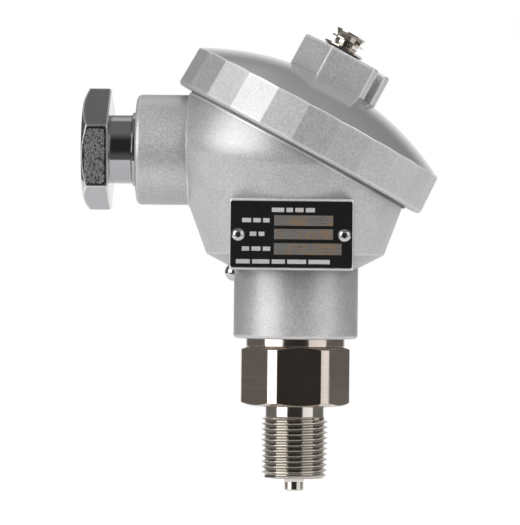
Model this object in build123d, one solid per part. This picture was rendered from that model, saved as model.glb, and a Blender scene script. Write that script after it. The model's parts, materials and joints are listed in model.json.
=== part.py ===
from build123d import *
import math
import os

# Pressure transmitter with a die-cast connection head, a slanted screw cover, a side cable
# gland and a threaded process connection. Millimetres. +Z is up along the process axis and
# z = 0 is the sealing shoulder under the hexagon. The plate faces -Y, the gland points to -X.

# Process connection, turned from stainless hexagon bar
hex_across_flats = 25.0
hex_turned_radius = 13.58
hex_height = 14.9
hex_chamfer = 0.8
hex_chamfer_run = 1.6
hex_turn = 7.0
collar_radius = 12.35
collar_height = 1.9
relief_radius = 7.3
relief_length = 2.8
thread_radius = 8.33
thread_length = 15.2
thread_chamfer = 0.8
tip_radius = 2.5
tip_root_radius = 2.85
tip_root_length = 1.3
tip_length = 3.2
tip_edge = 0.3
port_radius = 1.5
spigot_radius = 11.0
spigot_length = 19.2
sensor_bore_radius = 8.4
sensor_floor = 8.0

# Casting: neck, bowl, cable entry and plate pad
neck_radius = 15.5
neck_length = 17.5
neck_edge = 0.8
bowl_base_radius = 22.15
bowl_base_rise = 3.45
bowl_offset = -0.3
bowl_slope = 20.4
bowl_knee_radius = 6.0
wall = 3.0
floor_thickness = 2.9
head_height = 63.6
cover_tilt = 28.0
mouth_radius = 30.6
thread_collar_radius = 29.5
thread_collar_height = 7.6
thread_collar_sink = 0.8
mouth_bore_radius = 26.6
entry_radius = 13.75
entry_face = 40.0
entry_edge = 1.2
entry_root_radius = 14.15
entry_root_reach = 27.2
entry_root_edge = 0.3
entry_bore_radius = 8.65
entry_throat_radius = 5.5
pad_width = 30.2
pad_height = 17.3
pad_centre_x = -0.6
pad_centre_z = 42.55
pad_face = 27.6
pad_edge = 0.5

# Cover
cover_bottom = 0.65
cover_radius = 34.35
cover_facets = 24
cover_turn = -2.4
cover_draft = 2.0
cover_edge = 0.6
dome_radius = 70.0
dome_height = 19.6
dome_wall = 2.8
cover_bore_clearance = 0.05
cover_chamber_radius = 28.2
cover_thread_depth = 8.6
seal_inset = 0.3
lug_across_flats = 20.7
lug_offset = -0.2
lug_root = 4.0
lug_top = 26.9
lug_edge = 0.35
lug_turn = 9.6
slot_width = 5.6
slot_depth = 4.2
slot_foot = 18.8

# Earth screw stack on the lug
stack_offset = -2.0
stack_shank_radius = 2.0
stack_thread_depth = 7.0
cup_washer_radius = 5.3
cup_washer_bore = 2.2
cup_washer_thickness = 0.4
cup_washer_dish = 0.75
cup_washer_foot_margin = 0.3
coil_washer_radius = 3.1
coil_washer_height = 2.45
coil_washer_slit = 0.5
coil_washer_groove = 0.3
coil_washer_slope = 25.0
coil_washer_turn = -70.0
plain_washer_radius = 4.3
plain_washer_thickness = 0.35
stack_head_foot_radius = 3.0
stack_head_radius = 3.95
stack_head_height = 1.9
stack_head_land = 0.3
stack_head_turn = 20.0
stack_socket_width = 0.9
stack_socket_depth = 1.0
turning_gap = 0.03

# Cable gland
gland_across_flats = 26.5
gland_hex_length = 6.65
gland_hex_chamfer = 1.3
gland_hex_chamfer_run = 2.4
gland_inner_chamfer = 0.4
gland_mouth_flare = 1.0
gland_turn = 9.0
gland_bore_radius = 5.0
gland_neck_length = 5.35
gland_shank_clearance = 0.05
gland_shank_reach = 8.5
ring_radius = 9.3
ring_thickness = 1.2
ring_bevel = 0.3
grommet_length = 4.0
grommet_bore_radius = 4.0
grommet_clearance = 0.15
thrust_ring_thickness = 0.8

# Plate, its studs and the neck's lock screw
plate_width = 29.6
plate_height = 16.1
plate_thickness = 0.5
plate_corner = 0.5
stud_spacing = 25.8
stud_centre_z = 42.4
stud_head_radius = 1.65
stud_head_height = 0.9
stud_shank_radius = 0.9
stud_shank_length = 4.0
stud_recess_radius = 0.7
stud_recess_depth = 0.35
stud_tip_gap = 0.3
lock_screw_height = 33.2
lock_screw_radius = 1.5
lock_head_radius = 2.25
lock_head_height = 2.5
lock_slot_width = 0.7
lock_slot_depth = 0.6
lock_tip_gap = 0.15
spot_face_clearance = 0.25
spot_face_depth = 0.2

# Inside the head
board_radius = 17.5
board_thickness = 1.6
board_notch = 5.0
standoff_height = 6.0
standoff_radius = 2.4
standoff_circle = 14.5
board_screw_radius = 1.25
board_screw_head_radius = 2.3
board_screw_head_height = 1.5
board_screw_tip_rise = 1.0
board_screw_slot_length = 3.0
terminal_length = 21.0
terminal_width = 9.5
terminal_height = 9.0
terminal_count = 3
terminal_pitch = 6.4
terminal_screw_radius = 1.9
terminal_wire_radius = 1.6
terminal_well_depth = 5.0
terminal_wire_height = 2.4
terminal_screw_sink = 1.0
small_slot_width = 0.6
small_slot_depth = 0.7
chip_length = 5.0
chip_width = 4.4
chip_height = 1.4
chip_x = -9.0
chip_y = -8.6
small_chip_side = 4.0
small_chip_height = 1.2
small_chip_x = 8.5
small_chip_y = -9.0
coil_length = 5.5
coil_width = 5.0
coil_height = 3.0
coil_y = 8.0
lead_width = 9.0
lead_thickness = 0.5
lead_rise = 0.3
earth_boss_radius = 3.6
earth_boss_height = 4.0
earth_boss_offset = 1.5
earth_hole_rise = 0.5
earth_tip_rise = 1.0
earth_slot_width = 0.8
earth_slot_depth = 0.8
earth_screw_radius = 1.5
earth_head_radius = 2.8
earth_head_height = 1.8
earth_washer_radius = 3.4
earth_washer_thickness = 0.6

# Sensor
capsule_radius = 8.0
capsule_height = 9.0
diaphragm_radius = 6.6
diaphragm_thickness = 0.15
diaphragm_recess = 0.6
sensor_seal_radius = 0.7
retainer_height = 4.0
retainer_bore_radius = 5.5
retainer_notch = 2.0
neck_seal_radius = 0.8
neck_seal_rise = 5.0

# Small clearances that everything shares
running_gap = 0.05
seat_gap = 0.02
cut_past = 1.0
beyond_everything = 200.0

# Heights that follow from the sizes above
neck_foot = hex_height + collar_height
neck_top = neck_foot + neck_length
bowl_base = neck_top + bowl_base_rise
cavity_floor = bowl_base + floor_thickness
spigot_top = neck_foot + spigot_length

tilt = math.radians(cover_tilt)
mouth_reach = mouth_radius * math.cos(tilt)
mouth_top = head_height + mouth_radius * math.sin(tilt)
throat_edge = mouth_reach - wall
cover_frame = Plane(
    origin=(0, 0, head_height),
    x_dir=(math.cos(tilt), 0, -math.sin(tilt)),
    z_dir=(math.sin(tilt), 0, math.cos(tilt)),
).location
entry_frame = Plane(origin=(0, 0, head_height), x_dir=(0, 1, 0), z_dir=(-1, 0, 0)).location


def rod(radius, low, high):
    """A cylinder along the local z axis between two heights."""
    return Pos(0, 0, (low + high) / 2) * Cylinder(radius, high - low)


def tube(outer, inner, low, high):
    return rod(outer, low, high) - rod(inner, low - cut_past, high + cut_past)


def turned(points):
    """A solid of revolution about the local z axis from (radius, height) corners."""
    face = make_face(Polyline(*[(r, 0, z) for r, z in points], close=True))
    return revolve(face, Axis.Z)


def hexagon(across_flats, low, high, turn):
    outline = RegularPolygon(across_flats / math.sqrt(3), 6, rotation=turn)
    return Pos(0, 0, low) * extrude(outline, high - low)


def ring_seal(radius, section, height):
    """A round-section ring that lies flat at the given height."""
    return Pos(0, 0, height) * Torus(radius, section)


def write(name, shape):
    solids = shape.solids()
    for solid in solids:
        solid.label = name
    export_step(solids[0] if len(solids) == 1 else Compound(children=list(solids)), f"parts/{name}.step")


def below_cover():
    return cover_frame * rod(beyond_everything, -beyond_everything, 0)


def bowl_form(inset):
    """A shoulder and a cone, trimmed by the slanted mouth's two sweeps and flat at the cable entry."""
    foot = bowl_base_radius - inset
    spread = (mouth_top - bowl_base) * math.tan(math.radians(bowl_slope))
    cone = Pos(bowl_offset, 0, 0) * turned([
        (0, neck_top), (neck_radius - inset, neck_top), (foot, bowl_base),
        (foot + spread, mouth_top), (0, mouth_top),
    ])
    upright = extrude(Ellipse(mouth_reach - inset, mouth_radius - inset), mouth_top - neck_top)
    square = cover_frame * rod(mouth_radius - inset, -2 * mouth_radius, mouth_radius)
    flat_reach = entry_root_reach - entry_root_edge - inset
    side = Pos(beyond_everything / 2 - flat_reach, 0, 0)
    side *= Box(beyond_everything, beyond_everything, beyond_everything)
    form = cone & (Pos(0, 0, neck_top) * upright + square) & side
    cone_edges = form.faces().filter_by(GeomType.CONE).edges()
    knee = cone_edges.filter_by(GeomType.BSPLINE)
    return fillet(knee, bowl_knee_radius - inset) & below_cover()


def make_housing():
    neck = rod(neck_radius, neck_foot, neck_top + cut_past)
    entry = rod(entry_radius, throat_edge, entry_face) + turned([
        (0, mouth_reach / 2), (entry_root_radius, mouth_reach / 2),
        (entry_root_radius, entry_root_reach - entry_root_edge),
        (entry_root_radius - entry_root_edge, entry_root_reach), (0, entry_root_reach),
    ])
    entry = (entry_frame * entry) & below_cover()
    collar = cover_frame * rod(thread_collar_radius, -thread_collar_sink, thread_collar_height)
    pad_depth = pad_face - neck_radius / 2
    pad = Pos(pad_centre_x, -pad_face + pad_depth / 2, pad_centre_z) * Box(pad_width, pad_depth, pad_height)
    front = pad.faces().sort_by(Axis.Y)[0]
    pad = fillet(front.edges() + pad.edges().filter_by(Axis.Y), pad_edge)
    body = bowl_form(0) + neck + entry + collar + pad

    above_floor = Pos(0, 0, cavity_floor + beyond_everything / 2)
    above_floor *= Box(beyond_everything, beyond_everything, beyond_everything)
    cavity = bowl_form(wall) & above_floor
    body -= cavity
    body -= cover_frame * rod(mouth_bore_radius, -thread_collar_sink - wall, thread_collar_height + cut_past)
    body -= rod(spigot_radius + running_gap, neck_foot - cut_past, spigot_top + seat_gap)
    body -= rod(sensor_bore_radius, spigot_top - cut_past, cavity_floor + cut_past)
    body -= entry_frame * rod(entry_bore_radius, grommet_seat(), entry_face + cut_past)
    body -= entry_frame * rod(entry_throat_radius, mouth_reach / 2, entry_face)
    for x in stud_places():
        hole = Pos(x, -pad_face + stud_shank_length / 2, stud_centre_z) * Rot(90, 0, 0)
        body -= hole * Cylinder(stud_shank_radius + running_gap, stud_shank_length + cut_past)
    body -= lock_frame() * rod(lock_screw_radius + running_gap, spigot_radius, neck_radius + cut_past)
    spot_face = rod(lock_head_radius + spot_face_clearance, neck_radius - spot_face_depth, bowl_base_radius)
    body -= lock_frame() * spot_face

    boss = earth_frame() * rod(earth_boss_radius, -cut_past, earth_boss_height)
    hole_top = earth_boss_height + cut_past
    boss -= earth_frame() * rod(earth_screw_radius + running_gap, earth_hole_rise, hole_top)
    body += boss
    rim = body.edges().filter_by(GeomType.CIRCLE).filter_by(
        lambda e: abs(e.radius - entry_radius) < 0.01 and abs(e.center().X + entry_face) < 0.01)
    body = fillet(rim, entry_edge)
    foot = body.edges().filter_by(GeomType.CIRCLE).filter_by(
        lambda e: abs(e.radius - neck_radius) < 0.01 and abs(e.center().Z - neck_foot) < 0.01)
    return fillet(foot, neck_edge)


def stud_places():
    return [pad_centre_x - stud_spacing / 2, pad_centre_x + stud_spacing / 2]


def grommet_seat():
    """Distance of the grommet's inner seat from the process axis, along the entry."""
    return entry_face - gland_shank_reach - thrust_ring_thickness - grommet_length - 2 * seat_gap


def lock_frame():
    return Plane(origin=(0, 0, lock_screw_height), x_dir=(0, 1, 0), z_dir=(-1, 0, 0)).location


def earth_frame():
    return Pos(0, standoff_circle + earth_boss_offset, cavity_floor)


def make_cover():
    outline = RegularPolygon(cover_radius, cover_facets, rotation=cover_turn)
    drum = Pos(0, 0, cover_bottom) * extrude(outline, dome_height, taper=cover_draft)
    ball_centre = dome_height - dome_radius
    cap = drum & (Pos(0, 0, ball_centre) * Sphere(dome_radius))
    foot = cap.faces().sort_by(Axis.Z)[0]
    cap = chamfer(foot.edges(), cover_edge)

    lug = hexagon(lug_across_flats, dome_height - lug_root, lug_top, lug_turn)
    lug = chamfer(lug.faces().sort_by(Axis.Z)[-1].edges(), lug_edge)
    slot_face = lug_across_flats / 2
    slot = Pos(slot_face - slot_depth / 2 + cut_past / 2, 0, (slot_foot + lug_top + cut_past) / 2)
    slot_box = Box(slot_depth + cut_past, slot_width, lug_top + cut_past - slot_foot)
    lug -= Rot(0, 0, lug_turn - 30) * slot * slot_box
    cap += Pos(lug_offset, 0, 0) * lug

    bore = rod(thread_collar_radius + cover_bore_clearance, cover_bottom - cut_past, cover_thread_depth)
    inner_ball = Pos(0, 0, ball_centre) * Sphere(dome_radius - dome_wall)
    chamber = rod(cover_chamber_radius, cover_thread_depth - cut_past, dome_height) & inner_ball
    cap -= bore + chamber
    hole_foot = lug_top - stack_thread_depth - cut_past
    screw_hole = rod(stack_shank_radius + running_gap, hole_foot, lug_top + cut_past)
    cap -= Pos(stack_offset, 0, 0) * screw_hole
    return cover_frame * cap


def stack_heights():
    cup_top = lug_top + seat_gap + cup_washer_thickness
    coil_low = cup_top + seat_gap
    plain_low = coil_low + coil_washer_height + seat_gap
    head_low = plain_low + plain_washer_thickness + turning_gap
    return cup_top, coil_low, plain_low, head_low


def in_stack(shape):
    return cover_frame * Pos(stack_offset, 0, 0) * shape


def make_cup_washer():
    low = lug_top + seat_gap
    foot = stack_head_foot_radius + cup_washer_foot_margin
    return in_stack(turned([
        (cup_washer_bore, low), (foot, low), (cup_washer_radius, low + cup_washer_dish),
        (cup_washer_radius, low + cup_washer_dish + cup_washer_thickness),
        (foot, low + cup_washer_thickness), (cup_washer_bore, low + cup_washer_thickness),
    ]))


def make_coil_washer():
    low = stack_heights()[1]
    high = low + coil_washer_height
    half = low + coil_washer_height / 2
    groove = coil_washer_groove
    ring = turned([
        (cup_washer_bore, low), (coil_washer_radius, low), (coil_washer_radius, half - groove),
        (coil_washer_radius - groove, half), (coil_washer_radius, half + groove),
        (coil_washer_radius, high), (cup_washer_bore, high),
    ])
    slit = Pos(coil_washer_radius, 0, half) * Rot(coil_washer_slope, 0, 0)
    slit *= Box(2 * coil_washer_radius, coil_washer_slit, 3 * coil_washer_height)
    ring -= Rot(0, 0, coil_washer_turn) * slit
    return in_stack(ring)


def make_plain_washer():
    low = stack_heights()[2]
    return in_stack(tube(plain_washer_radius, cup_washer_bore, low, low + plain_washer_thickness))


def make_stack_screw():
    low = stack_heights()[3]
    top = low + stack_head_height
    screw = turned([
        (0, lug_top - stack_thread_depth), (stack_shank_radius, lug_top - stack_thread_depth),
        (stack_shank_radius, low), (stack_head_foot_radius, low), (stack_head_radius, top - stack_head_land),
        (stack_head_radius, top), (0, top),
    ])
    blade = Pos(0, 0, top) * Box(2 * stack_head_foot_radius, stack_socket_width, 2 * stack_socket_depth)
    screw -= blade + Rot(0, 0, 90) * blade
    return in_stack(Rot(0, 0, stack_head_turn) * screw)


def make_cover_seal():
    return cover_frame * tube(mouth_radius - seal_inset, thread_collar_radius + running_gap,
                              seat_gap, cover_bottom - seat_gap)


def make_gland():
    hex_low = entry_face + seat_gap + ring_thickness + seat_gap + gland_neck_length
    hex_high = hex_low + gland_hex_length
    nut = hexagon(gland_across_flats, hex_low, hex_high, 30 - gland_turn)
    corner = gland_across_flats / math.sqrt(3)
    nut &= turned([
        (0, hex_low), (corner - gland_inner_chamfer, hex_low), (corner, hex_low + gland_inner_chamfer),
        (corner, hex_high - gland_hex_chamfer), (corner - gland_hex_chamfer_run, hex_high), (0, hex_high),
    ])
    shank = rod(entry_bore_radius - gland_shank_clearance, entry_face - gland_shank_reach, hex_low + cut_past)
    bore = rod(gland_bore_radius, entry_face - gland_shank_reach - cut_past, hex_high + cut_past)
    flare = gland_mouth_flare
    mouth = Pos(0, 0, hex_high - flare / 2) * Cone(gland_bore_radius, gland_bore_radius + flare, flare)
    return entry_frame * (nut + shank - bore - mouth)


def make_gland_ring():
    low = entry_face + seat_gap
    high = low + ring_thickness
    return entry_frame * turned([
        (entry_bore_radius, low), (ring_radius, low), (ring_radius, high - ring_bevel),
        (ring_radius - ring_bevel, high), (entry_bore_radius, high),
    ])


def make_grommet():
    low = grommet_seat() + seat_gap
    high = low + grommet_length - seat_gap
    return entry_frame * tube(entry_bore_radius - grommet_clearance, grommet_bore_radius, low, high)


def make_thrust_ring():
    low = entry_face - gland_shank_reach - seat_gap - thrust_ring_thickness
    return entry_frame * tube(
        entry_bore_radius - running_gap, gland_bore_radius, low, low + thrust_ring_thickness)


def make_process_connection():
    hex_bar = hexagon(hex_across_flats, 0, hex_height, hex_turn)
    hex_bar &= turned([
        (0, 0), (hex_turned_radius - hex_chamfer_run, 0), (hex_turned_radius, hex_chamfer),
        (hex_turned_radius, hex_height - hex_chamfer), (hex_turned_radius - hex_chamfer_run, hex_height),
        (0, hex_height),
    ])
    stem = rod(collar_radius, hex_height, neck_foot - seat_gap) + rod(spigot_radius, hex_height, spigot_top)
    thread_low = -relief_length - thread_length
    thread = turned([
        (0, 0), (relief_radius, 0), (relief_radius, -relief_length),
        (thread_radius - thread_chamfer, -relief_length), (thread_radius, -relief_length - thread_chamfer),
        (thread_radius, thread_low + thread_chamfer), (thread_radius - thread_chamfer, thread_low),
        (tip_root_radius, thread_low), (tip_radius, thread_low - tip_root_length),
        (tip_radius, thread_low - tip_length + tip_edge),
        (tip_radius - tip_edge, thread_low - tip_length), (0, thread_low - tip_length),
    ])
    body = hex_bar + stem + thread
    groove = neck_seal_radius + running_gap
    body -= tube(spigot_radius + cut_past, spigot_radius + running_gap - 2 * neck_seal_radius,
                 neck_foot + neck_seal_rise - groove, neck_foot + neck_seal_rise + groove)
    body -= rod(sensor_bore_radius, sensor_floor, spigot_top + cut_past)
    body -= rod(port_radius, thread_low - tip_length - cut_past, sensor_floor + cut_past)
    return body


def make_neck_seal():
    """The ring fills its groove in the spigot and touches the neck's bore."""
    return ring_seal(spigot_radius + running_gap - neck_seal_radius, neck_seal_radius - seat_gap,
                     neck_foot + neck_seal_rise)


def capsule_low():
    return sensor_floor + 2 * sensor_seal_radius


def make_capsule():
    low = capsule_low()
    capsule = rod(capsule_radius, low, low + capsule_height)
    capsule -= rod(diaphragm_radius + running_gap, low - cut_past, low + diaphragm_recess)
    return capsule


def make_diaphragm():
    high = capsule_low() + diaphragm_recess - seat_gap
    return rod(diaphragm_radius, high - diaphragm_thickness, high)


def make_sensor_seal():
    return ring_seal(capsule_radius - sensor_seal_radius, sensor_seal_radius - seat_gap,
                     sensor_floor + sensor_seal_radius)


def make_retainer():
    low = capsule_low() + capsule_height + seat_gap
    ring = tube(sensor_bore_radius - running_gap, retainer_bore_radius, low, low + retainer_height)
    notch = Box(2 * sensor_bore_radius + cut_past, retainer_notch, retainer_notch)
    return ring - Pos(0, 0, low + retainer_height) * notch


def make_lead():
    low = capsule_low() + capsule_height + lead_rise
    high = cavity_floor + standoff_height - seat_gap
    return Pos(0, 0, (low + high) / 2) * Box(lead_width, lead_thickness, high - low)


def board_angles():
    return [-90, 30, 150]


def around(shape, radius, angles):
    return [Rot(0, 0, a) * Pos(radius, 0, 0) * shape for a in angles]


def group(shapes):
    return Compound(children=[s for shape in shapes for s in shape.solids()])


def make_standoffs():
    post = tube(standoff_radius, board_screw_radius + running_gap,
                cavity_floor + seat_gap, cavity_floor + standoff_height)
    return group(around(post, standoff_circle, board_angles()))


def board_low():
    return cavity_floor + standoff_height + seat_gap


def make_board():
    low = board_low()
    board = rod(board_radius, low, low + board_thickness)
    past = low + board_thickness + cut_past
    hole = rod(board_screw_radius + running_gap, low - cut_past, past)
    for cut in around(hole, standoff_circle, board_angles()):
        board -= cut
    board -= Pos(0, earth_frame().position.Y, 0) * rod(board_notch, low - cut_past, past)
    return board


def make_board_screws():
    low = board_low() + board_thickness + seat_gap
    top = low + board_screw_head_height
    screw = rod(board_screw_radius, cavity_floor + board_screw_tip_rise, low)
    screw += rod(board_screw_head_radius, low, top)
    blade = Pos(0, 0, top) * Box(board_screw_slot_length, small_slot_width, 2 * small_slot_depth)
    screw -= blade + Rot(0, 0, 90) * blade
    return group(around(screw, standoff_circle, board_angles()))


def terminal_places():
    first = -(terminal_count - 1) / 2 * terminal_pitch
    return [first + i * terminal_pitch for i in range(terminal_count)]


def terminal_low():
    return board_low() + board_thickness + seat_gap


def make_terminal_block():
    low = terminal_low()
    top = low + terminal_height
    block = Pos(0, 0, low + terminal_height / 2) * Box(terminal_length, terminal_width, terminal_height)
    well = rod(terminal_screw_radius + running_gap, top - terminal_well_depth, top + cut_past)
    for x in terminal_places():
        block -= Pos(x, 0, 0) * well
        wire = Pos(x, -terminal_width / 2, low + terminal_wire_height) * Rot(90, 0, 0)
        block -= wire * Cylinder(terminal_wire_radius, terminal_width)
    return block


def make_terminal_screws():
    low = terminal_low() + terminal_height - terminal_well_depth + seat_gap
    top = low + terminal_well_depth - terminal_screw_sink
    screws = []
    for x in terminal_places():
        screw = Pos(x, 0, 0) * rod(terminal_screw_radius, low, top)
        slot = Box(2 * terminal_screw_radius + cut_past, small_slot_width, 2 * small_slot_depth)
        screw -= Pos(x, 0, top) * slot
        screws.append(screw)
    return group(screws)


def make_components():
    """Two packaged chips and a power coil on the board's upper face."""
    low = board_low() + board_thickness + seat_gap
    chips = [
        (chip_x, chip_y, chip_length, chip_width, chip_height),
        (small_chip_x, small_chip_y, small_chip_side, small_chip_side, small_chip_height),
        (0.0, coil_y, coil_length, coil_width, coil_height),
    ]
    return group([Pos(x, y, low + h / 2) * Box(a, b, h) for x, y, a, b, h in chips])


def make_earth_screw():
    low = earth_boss_height + 2 * seat_gap + earth_washer_thickness
    top = low + earth_head_height
    screw = rod(earth_screw_radius, earth_tip_rise, low) + rod(earth_head_radius, low, top)
    screw -= Pos(0, 0, top) * Box(2 * earth_head_radius + cut_past, earth_slot_width, 2 * earth_slot_depth)
    return earth_frame() * screw


def make_earth_washer():
    low = earth_boss_height + seat_gap
    return earth_frame() * tube(earth_washer_radius, earth_screw_radius + running_gap,
                                low, low + earth_washer_thickness)


def make_plate():
    back = -pad_face - seat_gap
    plate = Pos(pad_centre_x, back - plate_thickness / 2, pad_centre_z)
    plate *= Box(plate_width, plate_thickness, plate_height)
    plate = fillet(plate.edges().filter_by(Axis.Y), plate_corner)
    for x in stud_places():
        hole = Pos(x, back, stud_centre_z) * Rot(90, 0, 0)
        plate -= hole * Cylinder(stud_shank_radius + running_gap, 4 * plate_thickness)
    return plate


def make_stud(x):
    seat = pad_face + 2 * seat_gap + plate_thickness
    ball = (stud_head_radius**2 + stud_head_height**2) / (2 * stud_head_height)
    head = Pos(0, 0, seat + stud_head_height - ball) * Sphere(ball)
    top = seat + stud_head_height
    head &= rod(stud_head_radius + cut_past, seat, top + cut_past)
    head -= rod(stud_recess_radius, top - stud_recess_depth, top + cut_past)
    stud = head + rod(stud_shank_radius, pad_face - stud_shank_length + stud_tip_gap, seat)
    return Plane(origin=(x, 0, stud_centre_z), x_dir=(1, 0, 0), z_dir=(0, -1, 0)).location * stud


def make_lock_screw():
    seat = neck_radius - spot_face_depth + seat_gap
    ball = lock_head_radius
    flat = lock_head_height - ball
    head = rod(lock_head_radius, seat, seat + flat) + Pos(0, 0, seat + flat) * Sphere(ball)
    top = seat + lock_head_height
    head &= rod(lock_head_radius + cut_past, seat, top + cut_past)
    head -= Pos(0, 0, top) * Box(lock_slot_width, 2 * lock_head_radius, 2 * lock_slot_depth)
    return lock_frame() * (head + rod(lock_screw_radius, spigot_radius + lock_tip_gap, seat + flat))


os.makedirs("parts", exist_ok=True)
write("housing", make_housing())
write("cover", make_cover())
write("cover_seal", make_cover_seal())
write("cup_washer", make_cup_washer())
write("spring_washer", make_coil_washer())
write("plain_washer", make_plain_washer())
write("earth_screw", make_stack_screw())
write("gland_screw", make_gland())
write("gland_ring", make_gland_ring())
write("grommet", make_grommet())
write("thrust_ring", make_thrust_ring())
write("process_connection", make_process_connection())
write("neck_seal", make_neck_seal())
write("sensor_capsule", make_capsule())
write("sensor_diaphragm", make_diaphragm())
write("sensor_seal", make_sensor_seal())
write("sensor_retainer", make_retainer())
write("sensor_lead", make_lead())
write("board_standoffs", make_standoffs())
write("circuit_board", make_board())
write("board_screws", make_board_screws())
write("board_components", make_components())
write("terminal_block", make_terminal_block())
write("terminal_screws", make_terminal_screws())
write("inner_earth_screw", make_earth_screw())
write("inner_earth_washer", make_earth_washer())
write("name_plate", make_plate())
write("plate_stud_left", make_stud(stud_places()[0]))
write("plate_stud_right", make_stud(stud_places()[1]))
write("lock_screw", make_lock_screw())
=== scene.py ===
import json
import math

import bmesh
import bpy
from mathutils import Matrix, Vector


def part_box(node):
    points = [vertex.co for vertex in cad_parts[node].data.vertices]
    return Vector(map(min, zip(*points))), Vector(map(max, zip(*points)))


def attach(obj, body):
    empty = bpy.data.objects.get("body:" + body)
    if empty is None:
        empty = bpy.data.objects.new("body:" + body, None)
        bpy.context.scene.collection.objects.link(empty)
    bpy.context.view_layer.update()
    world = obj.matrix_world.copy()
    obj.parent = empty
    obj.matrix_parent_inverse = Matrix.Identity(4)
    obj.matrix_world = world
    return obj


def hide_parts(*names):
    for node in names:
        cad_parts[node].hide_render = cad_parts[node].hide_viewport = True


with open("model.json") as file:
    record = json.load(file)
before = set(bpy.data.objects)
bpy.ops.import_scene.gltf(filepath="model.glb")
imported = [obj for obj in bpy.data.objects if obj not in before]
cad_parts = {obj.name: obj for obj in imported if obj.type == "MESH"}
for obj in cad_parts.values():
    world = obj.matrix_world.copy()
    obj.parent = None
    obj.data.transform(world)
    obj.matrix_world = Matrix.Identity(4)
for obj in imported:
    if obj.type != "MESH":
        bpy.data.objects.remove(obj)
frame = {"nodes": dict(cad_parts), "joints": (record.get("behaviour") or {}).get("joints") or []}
nodes = frame["nodes"]
joints = {joint["name"]: joint for joint in frame["joints"]}
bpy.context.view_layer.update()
print("frame loaded:", len(nodes), "nodes")

mm = 0.001


# Small helpers for shader trees

def setSocket(tree, socket, value):
    if isinstance(value, bpy.types.NodeSocket):
        tree.links.new(value, socket)
    else:
        socket.default_value = value


def addNode(tree, kind, inputs=None, **settings):
    node = tree.nodes.new(kind)
    for key, value in settings.items():
        setattr(node, key, value)
    for key, value in (inputs or {}).items():
        setSocket(tree, node.inputs[key], value)
    return node


def mathNode(tree, operation, *values):
    return addNode(tree, "ShaderNodeMath", dict(enumerate(values)), operation=operation).outputs[0]


def mixColor(tree, factor, first, second, blend="MIX"):
    inputs = {0: factor, 6: first, 7: second}  # 6 and 7 are a Mix node's two colours
    return addNode(tree, "ShaderNodeMix", inputs, data_type="RGBA", blend_type=blend).outputs[2]


def ramp(tree, value, low, high, toLow=0.0, toHigh=1.0):
    node = addNode(tree, "ShaderNodeMapRange", {
        "Value": value, "From Min": low, "From Max": high, "To Min": toLow, "To Max": toHigh})
    return node.outputs[0]


def mixValue(tree, factor, first, second):
    return ramp(tree, factor, 0.0, 1.0, first, second)


def noise(tree, place, scale, detail, roughness=0.5, distortion=0.0):
    return addNode(tree, "ShaderNodeTexNoise", {
        "Vector": place, "Scale": scale, "Detail": detail, "Roughness": roughness,
        "Distortion": distortion}).outputs["Fac"]


def objectPlace(tree):
    return addNode(tree, "ShaderNodeTexCoord").outputs["Object"]


def splitAxes(tree, vector):
    return addNode(tree, "ShaderNodeSeparateXYZ", {0: vector}).outputs


def stretch(tree, place, scales):
    return addNode(tree, "ShaderNodeVectorMath", {0: place, 1: scales}, operation="MULTIPLY").outputs[0]


def scaleColor(tree, color, factor):
    combined = addNode(tree, "ShaderNodeCombineXYZ", {0: factor, 1: factor, 2: factor}).outputs[0]
    return mixColor(tree, 1.0, color, combined, "MULTIPLY")


def newGroup(name, inputs, outputs):
    tree = bpy.data.node_groups.new(name, "ShaderNodeTree")
    for label, kind, default in inputs:
        socket = tree.interface.new_socket(label, in_out="INPUT", socket_type=kind)
        socket.default_value = default
    for label, kind in outputs:
        tree.interface.new_socket(label, in_out="OUTPUT", socket_type=kind)
    return tree, tree.nodes.new("NodeGroupInput").outputs, tree.nodes.new("NodeGroupOutput").inputs


def useGroup(tree, group, inputs):
    return addNode(tree, "ShaderNodeGroup", inputs, node_tree=group).outputs


def grey(value, warmth=0.0):
    return (value * (1 + warmth), value, value * (1 - warmth), 1.0)


# Shared effect: the fine grain of cast and moulded surfaces

grainShape = {
    "fineDetail": 3.0, "fineRough": 0.6, "sparkle": (0.38, 0.66), "sparkleRough": 0.05,
    "cloudScale": 160.0, "cloudDetail": 3.0, "cloudRough": 0.55, "cloud": (0.3, 0.7), "cloudShare": 0.35,
    "pitScale": 0.8, "pitWidth": 0.3, "pitShare": 0.5,
}


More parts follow.
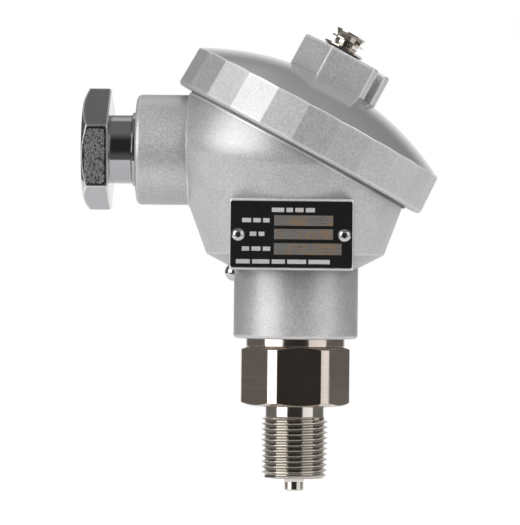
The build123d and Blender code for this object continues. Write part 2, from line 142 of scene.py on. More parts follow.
def makeCastGrain():
    shape = grainShape
    tree, given, result = newGroup(
        "castGrain",
        [("Tone", "NodeSocketColor", grey(0.6)), ("Grain Size", "NodeSocketFloat", 0.4),
         ("Speckle", "NodeSocketFloat", 0.12), ("Roughness", "NodeSocketFloat", 0.4)],
        [("Color", "NodeSocketColor"), ("Roughness", "NodeSocketFloat"), ("Height", "NodeSocketFloat")])
    place = objectPlace(tree)
    scale = mathNode(tree, "DIVIDE", 1 / mm, given["Grain Size"])
    fine = noise(tree, place, scale, shape["fineDetail"], shape["fineRough"])
    broad = noise(tree, place, shape["cloudScale"], shape["cloudDetail"], shape["cloudRough"])
    pitScale = mathNode(tree, "MULTIPLY", scale, shape["pitScale"])
    pits = addNode(tree, "ShaderNodeTexVoronoi", {"Vector": place, "Scale": pitScale}).outputs["Distance"]
    sparkle = ramp(tree, fine, *shape["sparkle"], -1.0, 1.0)
    cloud = ramp(tree, broad, *shape["cloud"], -shape["cloudShare"], shape["cloudShare"])
    change = mathNode(tree, "MULTIPLY", mathNode(tree, "ADD", sparkle, cloud), given["Speckle"])
    color = scaleColor(tree, given["Tone"], mathNode(tree, "ADD", change, 1.0))
    rough = mathNode(tree, "MULTIPLY_ADD", sparkle, shape["sparkleRough"], given["Roughness"])
    pit = ramp(tree, pits, 0.0, shape["pitWidth"])
    tree.links.new(color, result["Color"])
    tree.links.new(rough, result["Roughness"])
    tree.links.new(mathNode(tree, "MULTIPLY_ADD", pit, shape["pitShare"], fine), result["Height"])
    return tree


# Shared effect: rounded edges, with a mask for worn edges that also carry a painted highlight, and a mask
# for hollows that carry painted shade; its lengths are in mm

softEdgeShape = {"samples": 8, "edge": (0.975, 0.78), "hollow": (0.85, 0.25)}


def makeSoftEdge():
    samples = softEdgeShape["samples"]
    tree, given, result = newGroup(
        "softEdge",
        [("Radius", "NodeSocketFloat", 0.3), ("Wear And Highlight Width", "NodeSocketFloat", 0.5),
         ("Hollow Width", "NodeSocketFloat", 3.0)],
        [("Normal", "NodeSocketVector"), ("Edge", "NodeSocketFloat"), ("Hollow", "NodeSocketFloat")])
    radius = mathNode(tree, "MULTIPLY", given["Radius"], mm)
    bevel = addNode(tree, "ShaderNodeBevel", {"Radius": radius}, samples=samples).outputs[0]
    width = mathNode(tree, "MULTIPLY", given["Wear And Highlight Width"], mm)
    inner = addNode(tree, "ShaderNodeAmbientOcclusion", {"Distance": width},
                    samples=samples, inside=True, only_local=True).outputs["AO"]  # dark at outer corners
    reach = mathNode(tree, "MULTIPLY", given["Hollow Width"], mm)
    outer = addNode(tree, "ShaderNodeAmbientOcclusion", {"Distance": reach},
                    samples=samples).outputs["AO"]  # dark in hollows, where the paint gets painted shade
    tree.links.new(bevel, result["Normal"])
    tree.links.new(ramp(tree, inner, *softEdgeShape["edge"]), result["Edge"])
    tree.links.new(ramp(tree, outer, *softEdgeShape["hollow"]), result["Hollow"])
    return tree


# Shared effect: fine turned or brushed lines with smudges

marksShape = {
    "detail": 3.0, "line": (0.3, 0.7), "lineRough": 0.03,
    "smudgeScale": 120.0, "smudgeDetail": 2.0, "smudge": (0.3, 0.7), "smudgeRough": (-0.04, 0.05),
}


def makeToolMarks():
    shape = marksShape
    tree, given, result = newGroup(
        "toolMarks",
        [("Stretch", "NodeSocketVector", (60.0, 60.0, 9000.0)), ("Tone", "NodeSocketColor", grey(0.6)),
         ("Contrast", "NodeSocketFloat", 0.1), ("Roughness", "NodeSocketFloat", 0.2)],
        [("Color", "NodeSocketColor"), ("Roughness", "NodeSocketFloat"), ("Height", "NodeSocketFloat")])
    place = objectPlace(tree)
    lines = noise(tree, stretch(tree, place, given["Stretch"]), 1.0, shape["detail"])
    smudge = noise(tree, place, shape["smudgeScale"], shape["smudgeDetail"])
    line = ramp(tree, lines, *shape["line"], -1.0, 1.0)
    factor = mathNode(tree, "ADD", mathNode(tree, "MULTIPLY", line, given["Contrast"]), 1.0)
    spread = ramp(tree, smudge, *shape["smudge"], *shape["smudgeRough"])
    rough = mathNode(tree, "ADD", spread, given["Roughness"])
    tree.links.new(scaleColor(tree, given["Tone"], factor), result["Color"])
    tree.links.new(mathNode(tree, "MULTIPLY_ADD", line, shape["lineRough"], rough), result["Roughness"])
    tree.links.new(lines, result["Height"])
    return tree


castGrain = makeCastGrain()
softEdge = makeSoftEdge()
toolMarks = makeToolMarks()
print("shader groups made")


# What every material starts with and ends with

def startMaterial(name, settings):
    material = bpy.data.materials.new(name)
    material.use_nodes = True
    tree = material.node_tree
    shader = tree.nodes["Principled BSDF"]
    for key, value in settings.items():
        shader.inputs[key].default_value = value
    return material, tree, shader


def bumpInto(tree, shader, height, strength, depth, normal=None):
    inputs = {"Height": height, "Strength": strength, "Distance": depth * mm}
    if normal is not None:
        inputs["Normal"] = normal
    bump = addNode(tree, "ShaderNodeBump", inputs)
    tree.links.new(bump.outputs[0], shader.inputs["Normal"])


# Silver-grey paint over the castings, with painted shade in its hollows and a painted highlight on its worn
# edges

castLook = {
    "tone": (0.58, 0.577, 0.583, 1.0), "grainSize": 0.45, "speckle": 0.14, "roughness": 0.40,
    "metallic": 0.58, "bump": 0.5, "bumpDepth": 0.06,
    "edgeWearAndHighlightTone": grey(0.95), "edgeRadius": 0.35, "wearAndHighlightWidth": 0.6,
    "paintedShadeTone": grey(0.28), "hollowWidth": 3.5, "housingShade": 0.8, "coverShade": 0.35,
}

# The cover's dome is part of a ball on the cover's axis, smoother and a little darker than the rim

domeLook = {
    "top": 19.6, "radius": 70.0, "start": (0.1, 0.3),
    "tone": grey(0.42), "roughness": 0.15, "metallic": 0.45, "bump": 0.1,
}


def findDomeCentre():
    turn = joints["cover_turn"]
    return Vector(turn["pos_m"]) + Vector(turn["axis"]) * (domeLook["top"] - domeLook["radius"]) * mm


def domeMask(tree):
    away = addNode(tree, "ShaderNodeVectorMath", {0: objectPlace(tree), 1: findDomeCentre()},
                   operation="DISTANCE").outputs["Value"]
    off = mathNode(tree, "ABSOLUTE", mathNode(tree, "SUBTRACT", away, domeLook["radius"] * mm))
    near, far = domeLook["start"]
    return ramp(tree, off, near * mm, far * mm, 1.0, 0.0)


def makeCastPaint(name, hollowShade, domed=False):
    look = castLook
    material, tree, shader = startMaterial(name, {"Metallic": look["metallic"]})
    grain = useGroup(tree, castGrain, {
        "Tone": look["tone"], "Grain Size": look["grainSize"], "Speckle": look["speckle"],
        "Roughness": look["roughness"]})
    edge = useGroup(tree, softEdge, {
        "Radius": look["edgeRadius"], "Wear And Highlight Width": look["wearAndHighlightWidth"], "Hollow Width": look["hollowWidth"]})
    color, rough, strength = grain["Color"], grain["Roughness"], look["bump"]
    if domed:
        onDome = domeMask(tree)
        color = mixColor(tree, onDome, color, domeLook["tone"])
        rough = mixValue(tree, onDome, rough, domeLook["roughness"])
        strength = mixValue(tree, onDome, strength, domeLook["bump"])
        metallic = mixValue(tree, onDome, look["metallic"], domeLook["metallic"])
        tree.links.new(metallic, shader.inputs["Metallic"])
    # painted shade: the paint darkens towards a shade tone in hollows and corners, the cover's less than
    # the housing's
    hollow = mathNode(tree, "MULTIPLY", edge["Hollow"], hollowShade)
    color = mixColor(tree, hollow, color, look["paintedShadeTone"])
    # the rounded outer edges are lightened, partly as worn paint and partly as a painted highlight
    tree.links.new(mixColor(tree, edge["Edge"], color, look["edgeWearAndHighlightTone"]), shader.inputs["Base Color"])
    tree.links.new(rough, shader.inputs["Roughness"])
    bumpInto(tree, shader, grain["Height"], strength, look["bumpDepth"], edge["Normal"])
    return material


# Bare metals; edge radii and bump depths are in mm

metalLooks = {
    "chrome": {"tone": (0.44, 0.44, 0.455, 1.0), "rough": 0.05, "contrast": 0.02,
               "stretch": (9000.0, 60.0, 60.0), "edge": 0.3, "bump": 0.10, "depth": 0.02},
    "nickel": {"tone": (0.66, 0.62, 0.57, 1.0), "rough": 0.09, "contrast": 0.10,
               "stretch": (900.0, 900.0, 900.0), "edge": 0.10, "bump": 0.25, "depth": 0.03},
    "steel": {"tone": (0.58, 0.575, 0.58, 1.0), "rough": 0.12, "contrast": 0.12,
              "stretch": (700.0, 700.0, 700.0), "edge": 0.10, "bump": 0.2, "depth": 0.03},
    "stainless": {"tone": (0.62, 0.55, 0.50, 1.0), "rough": 0.10, "contrast": 0.08,
                  "stretch": (40.0, 40.0, 9000.0), "edge": 0.12, "bump": 0.12, "depth": 0.02},
    "brass": {"tone": (0.78, 0.60, 0.30, 1.0), "rough": 0.25, "contrast": 0.08,
              "stretch": (40.0, 40.0, 6000.0), "edge": 0.15, "bump": 0.2, "depth": 0.02},
}


def startMetal(name, look):
    material, tree, shader = startMaterial(name, {"Metallic": 1.0})
    marks = useGroup(tree, toolMarks, {
        "Stretch": look["stretch"], "Tone": look["tone"], "Contrast": look["contrast"],
        "Roughness": look["rough"]})
    edge = useGroup(tree, softEdge, {"Radius": look["edge"]})
    return material, tree, shader, marks, edge


def makeMetal(name, look, retone=None):
    material, tree, shader, marks, edge = startMetal(name, look)
    color = retone(tree, marks["Color"]) if retone else marks["Color"]
    tree.links.new(color, shader.inputs["Base Color"])
    tree.links.new(marks["Roughness"], shader.inputs["Roughness"])
    bumpInto(tree, shader, marks["Height"], look["bump"], look["depth"], edge["Normal"])
    return material


# Below the shoulder the steel is freshly cut and pale, with painted shade darkening the thread's roots

threadLook = {
    "tone": (0.70, 0.67, 0.62, 1.0), "rootShadeTone": (0.44, 0.41, 0.37, 1.0), "top": -0.1,
    "rootRadius": 7.5, "flankRadius": 8.1, "reliefBottom": -2.6, "bottom": -18.1,
}


def threadTone(tree, color):
    look = threadLook
    place = objectPlace(tree)
    height = splitAxes(tree, place)[2]
    radius = addNode(tree, "ShaderNodeVectorMath", {0: stretch(tree, place, (1.0, 1.0, 0.0))},
                     operation="LENGTH").outputs["Value"]
    # painted shade: the colour darkens where the radius drops into the thread's roots
    root = ramp(tree, radius, look["rootRadius"] * mm, look["flankRadius"] * mm, 1.0, 0.0)
    onThread = mathNode(tree, "MULTIPLY",
                        mathNode(tree, "LESS_THAN", height, look["reliefBottom"] * mm),
                        mathNode(tree, "GREATER_THAN", height, look["bottom"] * mm))
    cut = mixColor(tree, mathNode(tree, "MULTIPLY", root, onThread), look["tone"], look["rootShadeTone"])
    return mixColor(tree, mathNode(tree, "LESS_THAN", height, look["top"] * mm), color, cut)


# The gland nut's front face is scuffed dull between its bright edges, which are a painted highlight;
# lengths are in mm

scuff = {
    "fromEnd": 3.29, "half": (3.3, 7.6), "corner": 1.5, "turn": 9.0, "facing": 0.97,
    "rim": 0.42, "line": 0.8, "ragged": 1.1, "rimHighlightTone": grey(0.95), "rimRough": 0.4,
    "grain": (3000.0, 3000.0, 1600.0), "grainDetail": 3.0, "grainRough": 0.65, "grainTwist": 1.2,
    "dark": grey(0.02), "pale": grey(0.88), "spots": (0.42, 0.52), "lineTone": grey(0.01),
    "rough": 0.3, "bump": 0.9, "depth": 0.08, "edge": 0.55,
}


def scuffInset(tree, place):
    # how many millimetres a point of the nut's front face lies inside the face's rounded outline
    x, y, z = splitAxes(tree, place)
    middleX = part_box("gland_screw")[0].x / mm + scuff["fromEnd"]
    middleZ = joints["gland_turn"]["pos_m"][2] / mm
    turn = math.radians(scuff["turn"])
    across = mathNode(tree, "MULTIPLY_ADD", x, 1 / mm, -middleX)
    rise = mathNode(tree, "MULTIPLY_ADD", z, math.cos(turn) / mm, -middleZ * math.cos(turn))
    along = mathNode(tree, "MULTIPLY_ADD", y, -math.sin(turn) / mm, rise)
    beyond = [mathNode(tree, "SUBTRACT", mathNode(tree, "ABSOLUTE", value), half - scuff["corner"])
              for value, half in zip((across, along), scuff["half"])]
    outside = [mathNode(tree, "MAXIMUM", value, 0.0) for value in beyond]
    squares = [mathNode(tree, "MULTIPLY", value, value) for value in outside]
    roundPart = mathNode(tree, "SQRT", mathNode(tree, "ADD", *squares))
    straight = mathNode(tree, "MINIMUM", mathNode(tree, "MAXIMUM", *beyond), 0.0)
    return mathNode(tree, "SUBTRACT", scuff["corner"], mathNode(tree, "ADD", roundPart, straight))


def makeNutChrome():
    look = {**metalLooks["chrome"], "edge": scuff["edge"]}
    material, tree, shader, marks, edge = startMetal("nutChrome", look)
    place = objectPlace(tree)
    turned = mathNode(tree, "LESS_THAN", splitAxes(tree, edge["Normal"])[1], -scuff["facing"])
    grain = noise(tree, stretch(tree, place, scuff["grain"]), 1.0, scuff["grainDetail"],
                  scuff["grainRough"], scuff["grainTwist"])
    ragged = mathNode(tree, "MULTIPLY_ADD", grain, scuff["ragged"], -scuff["ragged"] / 2)
    inset = mathNode(tree, "ADD", ragged, scuffInset(tree, place))
    mask = mathNode(tree, "MULTIPLY", turned, mathNode(tree, "GREATER_THAN", inset, scuff["rim"]))
    worn = mixColor(tree, ramp(tree, grain, *scuff["spots"]), scuff["dark"], scuff["pale"])
    onLine = mathNode(tree, "LESS_THAN", inset, scuff["line"])
    dull = mixColor(tree, onLine, worn, scuff["lineTone"])
    # painted highlight: the rounded edges outside the scuffed face are lightened and roughened
    rimHighlight = mathNode(tree, "MULTIPLY", edge["Edge"], mathNode(tree, "SUBTRACT", 1.0, mask))
    bright = mixColor(tree, rimHighlight, marks["Color"], scuff["rimHighlightTone"])
    rough = mixValue(tree, rimHighlight, marks["Roughness"], scuff["rimRough"])
    tree.links.new(mixColor(tree, mask, bright, dull), shader.inputs["Base Color"])
    tree.links.new(mixValue(tree, mask, rough, scuff["rough"]), shader.inputs["Roughness"])
    height = mathNode(tree, "MULTIPLY", grain, mask)
    bumpInto(tree, shader, height, scuff["bump"], scuff["depth"], edge["Normal"])
    return material


# Rubber, plastic, board and the plate's black and pale prints

plainLooks = {  # tone, roughness, grain in mm, speckle, bump
    "rubber": (grey(0.022), 0.62, 0.25, 0.25, 0.4),
    "sealGrey": (grey(0.3), 0.55, 0.25, 0.25, 0.4),
    "plateBlack": (grey(0.006, 0.05), 0.34, 0.2, 0.25, 0.06),
    "plateMark": (grey(0.38, 0.02), 0.45, 0.2, 0.2, 0.1),
    "boardGreen": ((0.02, 0.16, 0.07, 1.0), 0.35, 0.8, 0.2, 0.1),
    "chipBlack": (grey(0.03), 0.5, 0.2, 0.2, 0.2),
    "terminalPlastic": (grey(0.06, -0.04), 0.42, 0.5, 0.12, 0.15),
    "leadFilm": ((0.5, 0.24, 0.05, 1.0), 0.3, 0.6, 0.15, 0.1),
}
plainFinish = {"edge": 0.1, "depth": 0.03}


def makePlain(name):
    tone, rough, grainSize, speckle, bump = plainLooks[name]
    material, tree, shader = startMaterial(name, {"Metallic": 0.0})
    grain = useGroup(tree, castGrain, {
        "Tone": tone, "Grain Size": grainSize, "Speckle": speckle, "Roughness": rough})
    edge = useGroup(tree, softEdge, {"Radius": plainFinish["edge"]})
    tree.links.new(grain["Color"], shader.inputs["Base Color"])
    tree.links.new(grain["Roughness"], shader.inputs["Roughness"])
    bumpInto(tree, shader, grain["Height"], bump, plainFinish["depth"], edge["Normal"])
    return material


# The plate's bare bars: dull brushed metal with a brown stain

barLook = {
    "tone": grey(0.30, 0.02), "rough": 0.3, "metallic": 0.7, "contrast": 0.12,
    "stretch": (150.0, 150.0, 5000.0), "bump": 0.15, "depth": 0.02,
    "stainTone": (0.46, 0.31, 0.19, 1.0), "cloudScale": 260.0, "cloudDetail": 2.0, "cloud": (0.42, 0.56),
    "fleckScale": 900.0, "fleckDetail": 3.0, "fleck": (0.4, 0.58), "fleckShare": 0.8,
}


def makeBarMetal():
    look = barLook
    material, tree, shader = startMaterial("barMetal", {"Metallic": look["metallic"]})
    marks = useGroup(tree, toolMarks, {
        "Stretch": look["stretch"], "Tone": look["tone"], "Contrast": look["contrast"],
        "Roughness": look["rough"]})
    place = objectPlace(tree)
    cloud = noise(tree, place, look["cloudScale"], look["cloudDetail"])
    flecks = noise(tree, place, look["fleckScale"], look["fleckDetail"])
    stain = mathNode(tree, "MULTIPLY", ramp(tree, cloud, *look["cloud"]),
                     ramp(tree, flecks, *look["fleck"], 0.0, look["fleckShare"]))
    tree.links.new(mixColor(tree, stain, marks["Color"], look["stainTone"]), shader.inputs["Base Color"])
    tree.links.new(marks["Roughness"], shader.inputs["Roughness"])
    bumpInto(tree, shader, marks["Height"], look["bump"], look["depth"])
    return material


# All the materials, and which of them each node of the solids gets

materials = {name: makeMetal(name, look) for name, look in metalLooks.items()}
materials["threadSteel"] = makeMetal("threadSteel", metalLooks["stainless"], threadTone)
materials.update({name: makePlain(name) for name in plainLooks})
materials["housingPaint"] = makeCastPaint("housingPaint", castLook["housingShade"])
materials["coverPaint"] = makeCastPaint("coverPaint", castLook["coverShade"], domed=True)
materials["barMetal"] = makeBarMetal()
materials["nutChrome"] = makeNutChrome()
print("materials made:", len(materials))

nodeFinish = {
    "housing": "housingPaint", "cover": "coverPaint", "cover_seal": "sealGrey",
    "cup_washer": "nickel", "spring_washer": "nickel", "plain_washer": "nickel",
    "earth_screw": "nickel", "gland_screw": "nutChrome", "gland_ring": "chrome", "grommet": "rubber",
    "thrust_ring": "nickel", "process_connection": "stainless", "neck_seal": "rubber",
    "sensor_capsule": "stainless", "sensor_diaphragm": "stainless", "sensor_seal": "rubber",
    "sensor_retainer": "brass", "sensor_lead": "leadFilm", "board_standoffs": "brass",
    "circuit_board": "boardGreen", "board_screws": "nickel", "board_components": "chipBlack",
    "terminal_block": "terminalPlastic", "terminal_screws": "nickel",
    "inner_earth_screw": "nickel", "inner_earth_washer": "nickel", "name_plate": "plateBlack",
    "plate_stud_left": "steel", "plate_stud_right": "steel", "lock_screw": "steel",
}

for nodeName, finishName in nodeFinish.items():
    nodeMesh = nodes[nodeName].data
    nodeMesh.materials.clear()
    nodeMesh.materials.append(materials[finishName])


# Every modelled piece is smooth up to its sharp angle and rides on a body

def addPiece(name, bm, material, body, sharpAngle=30.0):
    mesh = bpy.data.meshes.new(name)
    bm.to_mesh(mesh)
    bm.free()
    for polygon in mesh.polygons:
        polygon.use_smooth = True
    mesh.set_sharp_from_angle(angle=math.radians(sharpAngle))
    mesh.materials.append(materials[material])
    piece = bpy.data.objects.new(name, mesh)
    bpy.context.scene.collection.objects.link(piece)
    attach(piece, body)
    return piece


# Process connection with its real thread; the part above the cut is the solid's own mesh

thread = {
    "crest": 8.33, "root": 7.42, "pitch": 1.337, "top": -2.8, "bottom": -18.0, "segments": 120,
    "phase": 0.35, "fadeIn": 0.15, "fadeOut": 0.75,
    "profile": ((0.0, 0.0), (0.10, 0.0), (0.44, 1.0), (0.56, 1.0), (0.90, 0.0)),  # share of a turn, depth
    "cut": -0.02, "overlap": 0.5, "port": 1.5, "relief": 7.3, "reliefEnd": -2.65, "lastRadius": 7.17,
    "tipFlare": ((2.85, 0.0), (2.64, 0.25), (2.53, 0.6), (2.5, 1.0), (2.5, 1.05)),  # radius, drop
    "tip": 2.5, "tipEdge": 0.3, "sharp": 28.0, "weld": 0.002, "thinnest": 0.001,
}


def threadRows():
    t = thread
    turns = int((t["top"] - t["bottom"]) / t["pitch"]) + 2
    rows = []
    for turn in range(-1, turns):
        for along, depth in t["profile"]:
            row = []
            for i in range(t["segments"] + 1):
                share = i / t["segments"]
                z = t["top"] - t["pitch"] * (turn + t["phase"] + along + share)
                z = min(t["top"], max(t["bottom"], z))
                fadeTop = min(1.0, (t["top"] - z) / (t["fadeIn"] * t["pitch"]))
                fadeLow = min(1.0, (z - t["bottom"]) / (t["fadeOut"] * t["pitch"]))
                r = t["root"] + (t["crest"] - t["root"]) * depth * fadeTop * fadeLow
                angle = 2 * math.pi * share
                row.append((r * math.cos(angle), -r * math.sin(angle), z))
            rows.append(row)
    return rows


def ringRow(radius, z):
    angles = [2 * math.pi * i / thread["segments"] for i in range(thread["segments"] + 1)]
    return [(radius * math.cos(angle), -radius * math.sin(angle), z) for angle in angles]


def connectionRows():
    t = thread
    start = t["cut"] + t["overlap"]
    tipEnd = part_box("process_connection")[0].z / mm
    rows = [ringRow(t["port"], start), ringRow(t["relief"], start), ringRow(t["relief"], t["reliefEnd"]),
            ringRow(t["root"], t["top"])]
    rows += threadRows()
    rows.append(ringRow(t["lastRadius"], t["bottom"]))
    rows += [ringRow(radius, t["bottom"] - drop) for radius, drop in t["tipFlare"]]
    rows += [ringRow(t["tip"], tipEnd + t["tipEdge"]), ringRow(t["tip"] - t["tipEdge"], tipEnd),
             ringRow(t["port"], tipEnd)]
    return rows


def addTurnedPart(bm):
    grid = [[bm.verts.new(Vector(point) * mm) for point in row] for row in connectionRows()]
    for upper, lower in zip(grid, grid[1:] + grid[:1]):
        for i in range(thread["segments"]):
            bm.faces.new((upper[i], lower[i], lower[i + 1], upper[i + 1]))
    bmesh.ops.remove_doubles(bm, verts=bm.verts, dist=thread["weld"] * mm)
    bmesh.ops.dissolve_degenerate(bm, edges=bm.edges, dist=thread["thinnest"] * mm)
    bmesh.ops.recalc_face_normals(bm, faces=bm.faces)


def addUpperPart(bm):
    upper = bmesh.new()
    upper.from_mesh(nodes["process_connection"].data)
    bmesh.ops.remove_doubles(upper, verts=upper.verts, dist=thread["weld"] * mm)
    everything = upper.verts[:] + upper.edges[:] + upper.faces[:]
    cut = bmesh.ops.bisect_plane(upper, geom=everything, plane_co=(0, 0, thread["cut"] * mm),
                                 plane_no=(0, 0, -1), clear_outer=True)
    loops = [piece for piece in cut["geom_cut"] if isinstance(piece, bmesh.types.BMEdge)]
    bmesh.ops.triangle_fill(upper, edges=loops, use_beauty=True)
    bmesh.ops.recalc_face_normals(upper, faces=upper.faces)
    spare = bpy.data.meshes.new("spareUpper")
    upper.to_mesh(spare)
    upper.free()
    for attribute in [a for a in spare.attributes if a.name == "custom_normal"]:
        spare.attributes.remove(attribute)  # the solid's normals don't fit the cut mesh
    bm.from_mesh(spare)
    bpy.data.meshes.remove(spare)


def makeProcessConnection():
    bm = bmesh.new()
    addTurnedPart(bm)
    addUpperPart(bm)
    piece = addPiece("processConnection", bm, "threadSteel", "housing", thread["sharp"])
    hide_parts("process_connection")


makeProcessConnection()
print("process connection threaded")


# Marks on the plate: bare bars and short pale dashes, no lettering

plateMarks = {
    "proud": 0.03, "sink": 0.05,
    "bars": (  # x, z, width, height
        (10.6, 3.35, 14.3, 2.5),
        (10.6, 0.05, 14.3, 2.5),
        (10.6, -3.55, 16.4, 2.8),
    ),
    "dashHeight": 1.05, "dashGap": 0.55,
    "dashRows": (  # x, z, widths
        (10.0, 5.9, (3.0, 1.6, 2.0, 2.2)),
        (2.8, 3.35, (2.2, 1.8, 1.6)),
        (4.7, 0.05, (1.6, 1.4)),
        (2.8, -3.55, (1.8, 2.2, 1.8)),
        (1.4, -6.65, (3.4, 4.2, 3.2, 4.6, 5.2)),
    ),
}


def addBlock(bm, x, z, width, height):
    # in mm, x from the plate's left edge and z from its middle
    low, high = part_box("name_plate")
    lowX = low.x + x * mm
    middle = (low.z + high.z) / 2 + z * mm
    depths = (low.y + plateMarks["sink"] * mm, low.y - plateMarks["proud"] * mm)
    corners = [bm.verts.new(Vector((cornerX, y, cornerZ)))
               for y in depths
               for cornerZ in (middle - height / 2 * mm, middle + height / 2 * mm)
               for cornerX in (lowX, lowX + width * mm)]
    for face in ((0, 1, 3, 2), (4, 6, 7, 5), (0, 4, 5, 1), (2, 3, 7, 6), (0, 2, 6, 4), (1, 5, 7, 3)):
        bm.faces.new([corners[i] for i in face])


def addMarks(name, blocks, material):
    bm = bmesh.new()
    for block in blocks:
        addBlock(bm, *block)
    bmesh.ops.recalc_face_normals(bm, faces=bm.faces)
    addPiece(name, bm, material, "housing")


def dashBlocks():
    blocks = []
    for x, z, widths in plateMarks["dashRows"]:
        for width in widths:
            blocks.append((x, z, width, plateMarks["dashHeight"]))
            x += width + plateMarks["dashGap"]
    return blocks


addMarks("plateBars", plateMarks["bars"], "barMetal")
addMarks("plateDashes", dashBlocks(), "plateMark")
print("plate marked")


# Camera, from the photograph's 520 x 525 frame

view = {
    "imageWidth": 520, "imageHeight": 525, "pixelsPerMm": 4.0, "shoulderPixel": (294.75, 405.5),
    "roll": 0.6, "distance": 940.0, "eyeX": 22.0, "eyeZ": 35.2, "sensor": 36.0, "clip": (0.05, 20.0),
}


def makeCamera():
    v = view
    roll = math.radians(v["roll"])
    right = (v["imageWidth"] / 2 - v["shoulderPixel"][0]) / v["pixelsPerMm"]
    up = (v["shoulderPixel"][1] - v["imageHeight"] / 2) / v["pixelsPerMm"]
    aim = Vector((right * math.cos(roll) - up * math.sin(roll), 0.0,
                  right * math.sin(roll) + up * math.cos(roll))) * mm
    eye = Vector((v["eyeX"], -v["distance"], v["eyeZ"])) * mm
    camera = bpy.data.cameras.new("camera")
    camera.sensor_width = v["sensor"]
    longSide = max(v["imageWidth"], v["imageHeight"])
    camera.lens = v["pixelsPerMm"] * (aim - eye).length / mm / longSide * v["sensor"]
    camera.clip_start, camera.clip_end = v["clip"]
    holder = bpy.data.objects.new("camera", camera)
    bpy.context.scene.collection.objects.link(holder)
    turn = (aim - eye).to_track_quat("-Z", "Y").to_matrix().to_4x4()
    holder.matrix_world = Matrix.Translation(eye) @ turn @ Matrix.Rotation(roll, 4, "Z")
    bpy.context.scene.camera = holder


makeCamera()
print("camera set")


# Studio floor: pale paper that the camera and mirrors see as nearly white; lengths are in metres

paper = {
    "height": -0.055, "front": -0.16, "back": 0.9, "half": 0.5,
    "tone": grey(0.4), "rough": 0.9, "specular": 0.1, "glow": (0.62, 0.88), "glowReach": (0.08, 0.6),
}


def makeFloorPaper():
    material, tree, shader = startMaterial("floorPaper", {
        "Base Color": paper["tone"], "Roughness": paper["rough"], "Specular IOR Level": paper["specular"]})
    rays = addNode(tree, "ShaderNodeLightPath").outputs
    seen = mathNode(tree, "MAXIMUM", rays["Is Camera Ray"], rays["Is Glossy Ray"])
    seen = mathNode(tree, "MAXIMUM", seen, rays["Is Transmission Ray"])
    away = addNode(tree, "ShaderNodeVectorMath", {0: objectPlace(tree)},
                   operation="LENGTH").outputs["Value"]
    strength = ramp(tree, away, *paper["glowReach"], *paper["glow"])
    glow = addNode(tree, "ShaderNodeEmission", {"Color": grey(1.0), "Strength": strength}).outputs[0]
    total = addNode(tree, "ShaderNodeAddShader", {0: shader.outputs[0], 1: glow}).outputs[0]
    choice = addNode(tree, "ShaderNodeMixShader", {0: seen, 1: shader.outputs[0], 2: total})
    tree.links.new(choice.outputs[0], tree.nodes["Material Output"].inputs["Surface"])
    return material


def makeFloor():
    half, front, back = paper["half"], paper["front"], paper["back"]
    bm = bmesh.new()
    corners = [bm.verts.new((x, y, paper["height"]))
               for x, y in ((-half, front), (half, front), (half, back), (-half, back))]
    bm.faces.new(corners)
    mesh = bpy.data.meshes.new("floor")
    bm.to_mesh(mesh)
    bm.free()
    mesh.materials.append(makeFloorPaper())
    floor = bpy.data.objects.new("floor", mesh)
    bpy.context.scene.collection.objects.link(floor)


# The room: white to the camera, a soft fill to matt surfaces, dark with lit parts to mirrors

room = {  # pairs say where along an axis of the direction a change starts and ends
    "front": 0.04, "side": 0.17, "sideStart": (-0.75, -0.3), "low": 0.12, "lowStart": (-0.12, -0.4),
    "ceiling": 0.26, "ceilingStart": (0.5, 0.85), "panel": 0.8, "panelStart": (0.27, 0.38),
    "panelSide": (0.2, 0.1), "backdrop": 1.0, "backdropStart": (0.86, 0.97),
    "tint": (1.0, 0.95, 0.90, 1.0), "ceilingPlain": 0.6, "plainBack": (0.3, 0.6), "plainUp": (0.15, 0.4),
    "fillFrom": (0.12, -0.87, 0.47), "fillSpread": 0.52, "fillRest": 0.03, "fillPeak": 2.3,
}


def roomStrength(tree, x, y, z, above):
    walls = ramp(tree, y, *room["sideStart"], room["front"], room["side"])
    walls = mathNode(tree, "ADD", walls, ramp(tree, z, *room["lowStart"], 0.0, room["low"]))
    onPanel = mathNode(tree, "MULTIPLY", ramp(tree, y, *room["panelStart"]),
                       ramp(tree, x, *room["panelSide"]))
    ceiling = mixValue(tree, onPanel, room["ceiling"], room["panel"])
    over = mixValue(tree, above, walls, ceiling)
    return mixValue(tree, ramp(tree, y, *room["backdropStart"]), over, room["backdrop"])


def roomColor(tree, y, z, above, seen):
    # a little warm around, plain above, behind and on the backdrop
    plain = ramp(tree, seen, room["ceiling"], room["backdrop"])
    plain = mathNode(tree, "MAXIMUM", plain, mathNode(tree, "MULTIPLY", above, room["ceilingPlain"]))
    upBack = mathNode(tree, "MULTIPLY", ramp(tree, y, *room["plainBack"]), ramp(tree, z, *room["plainUp"]))
    return mixColor(tree, mathNode(tree, "MAXIMUM", plain, upBack), room["tint"], grey(1.0))


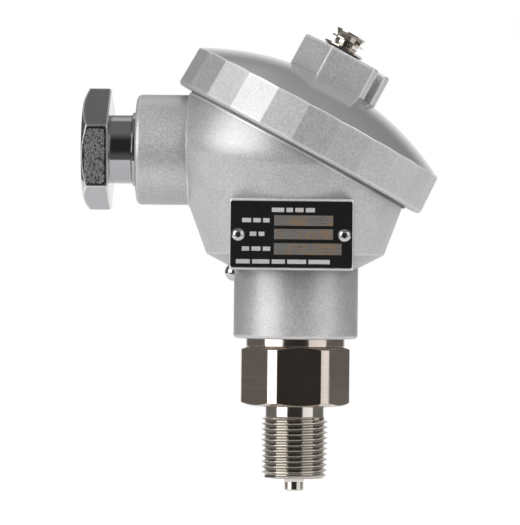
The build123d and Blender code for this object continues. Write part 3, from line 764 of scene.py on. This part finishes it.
def fillStrength(tree, direction):
    toFill = addNode(tree, "ShaderNodeVectorMath", {0: direction, 1: room["fillFrom"]},
                     operation="DOT_PRODUCT").outputs["Value"]
    return ramp(tree, toFill, room["fillSpread"], 1.0, room["fillRest"], room["fillPeak"])


def makeWorld():
    world = bpy.data.worlds.new("studio")
    world.use_nodes = True
    bpy.context.scene.world = world
    tree = world.node_tree
    direction = addNode(tree, "ShaderNodeTexCoord").outputs["Generated"]
    x, y, z = splitAxes(tree, direction)
    above = ramp(tree, z, *room["ceilingStart"])
    seen = roomStrength(tree, x, y, z, above)
    rays = addNode(tree, "ShaderNodeLightPath").outputs
    lit = mixValue(tree, rays["Is Diffuse Ray"], seen, fillStrength(tree, direction))
    strength = mixValue(tree, rays["Is Camera Ray"], lit, 1.0)
    neutral = mathNode(tree, "MAXIMUM", rays["Is Diffuse Ray"], rays["Is Camera Ray"])
    color = mixColor(tree, neutral, roomColor(tree, y, z, above, seen), grey(1.0))
    background = tree.nodes["Background"]
    tree.links.new(color, background.inputs["Color"])
    tree.links.new(strength, background.inputs["Strength"])


# Two tall soft boxes in front, left and right; degrees, metres and watts

softBoxShape = {"distance": 1.0, "height": 0.37, "size": (0.93, 1.0), "aimHeight": 0.045}
softBoxes = {"leftBox": {"azimuth": -51.0, "power": 6.7}, "rightBox": {"azimuth": 55.0, "power": 3.0}}


def makeSoftBox(name, azimuth, power):
    lamp = bpy.data.lights.new(name, "AREA")
    lamp.shape = "RECTANGLE"
    lamp.size, lamp.size_y = softBoxShape["size"]
    lamp.energy = power
    angle = math.radians(azimuth)
    distance = softBoxShape["distance"]
    place = Vector((math.sin(angle) * distance, -math.cos(angle) * distance, softBoxShape["height"]))
    aim = Vector((0.0, 0.0, softBoxShape["aimHeight"]))
    turn = (aim - place).to_track_quat("-Z", "Y").to_matrix().to_4x4()
    holder = bpy.data.objects.new(name, lamp)
    holder.matrix_world = Matrix.Translation(place) @ turn
    bpy.context.scene.collection.objects.link(holder)
    holder.visible_camera = False


makeFloor()
makeWorld()
for boxName, box in softBoxes.items():
    makeSoftBox(boxName, **box)
bpy.context.scene.view_settings.view_transform = "Standard"
print("studio set")
